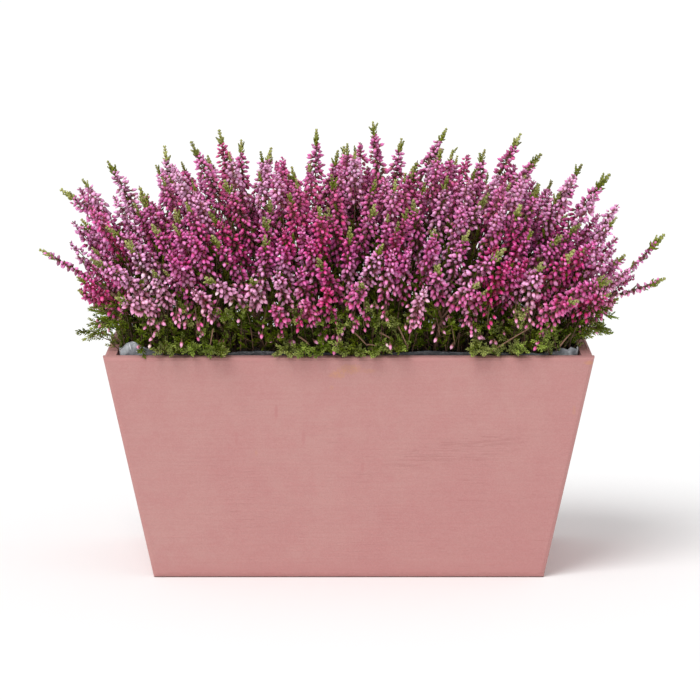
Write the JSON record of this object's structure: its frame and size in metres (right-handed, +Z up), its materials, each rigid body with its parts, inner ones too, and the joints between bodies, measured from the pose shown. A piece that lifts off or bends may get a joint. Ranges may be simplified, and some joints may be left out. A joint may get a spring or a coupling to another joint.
{
  "type": "potted heather",
  "caption": "Tapered wooden trough, painted dusty pink and lined with grey film, planted with heather: leafy woody stems with sprays of pink and magenta bud spikes.",
  "frame": {"origin": "middle of the trough's flat underside, on the surface that it stands on", "axes": "+X along the trough's length, to the right seen from the front; +Z up; the front faces -Y"},
  "size_m": [0.5174, 0.2461, 0.3671],
  "materials": {
    "paint": "matte",
    "film": "satin",
    "soil": "matte",
    "foliage": "matte",
    "buds": "matte"
  },
  "bodies": {
    "root": {"front_panel": "paint", "back_panel": "paint", "left_end_panel": "paint", "right_end_panel": "paint", "bottom_board": "paint", "liner": "film", "soil": "soil", "spray_01_stem": "foliage", "spray_01_bloom": "buds", "spray_02_stem": "foliage", "spray_02_bloom": "buds", "spray_03_stem": "foliage", "spray_03_bloom": "buds", "spray_04_stem": "foliage", "spray_04_bloom": "buds", "spray_05_stem": "foliage", "spray_05_bloom": "buds", "spray_06_stem": "foliage", "spray_06_bloom": "buds", "spray_07_stem": "foliage", "spray_07_bloom": "buds", "spray_08_stem": "foliage", "spray_08_bloom": "buds", "spray_09_stem": "foliage", "spray_09_bloom": "buds", "spray_10_stem": "foliage", "spray_10_bloom": "buds", "spray_11_stem": "foliage", "spray_11_bloom": "buds", "spray_12_stem": "foliage", "spray_12_bloom": "buds", "spray_13_stem": "foliage", "spray_13_bloom": "buds", "spray_14_stem": "foliage", "spray_14_bloom": "buds", "spray_15_stem": "foliage", "spray_15_bloom": "buds", "spray_16_stem": "foliage", "spray_16_bloom": "buds", "spray_17_stem": "foliage", "spray_17_bloom": "buds", "spray_18_stem": "foliage", "spray_18_bloom": "buds", "spray_19_stem": "foliage", "spray_19_bloom": "buds", "spray_20_stem": "foliage", "spray_20_bloom": "buds", "spray_21_stem": "foliage", "spray_21_bloom": "buds", "spray_22_stem": "foliage", "spray_22_bloom": "buds", "spray_23_stem": "foliage", "spray_23_bloom": "buds", "spray_24_stem": "foliage", "spray_24_bloom": "buds", "spray_25_stem": "foliage", "spray_25_bloom": "buds", "spray_26_stem": "foliage", "spray_26_bloom": "buds"}
  },
  "joints": []
}
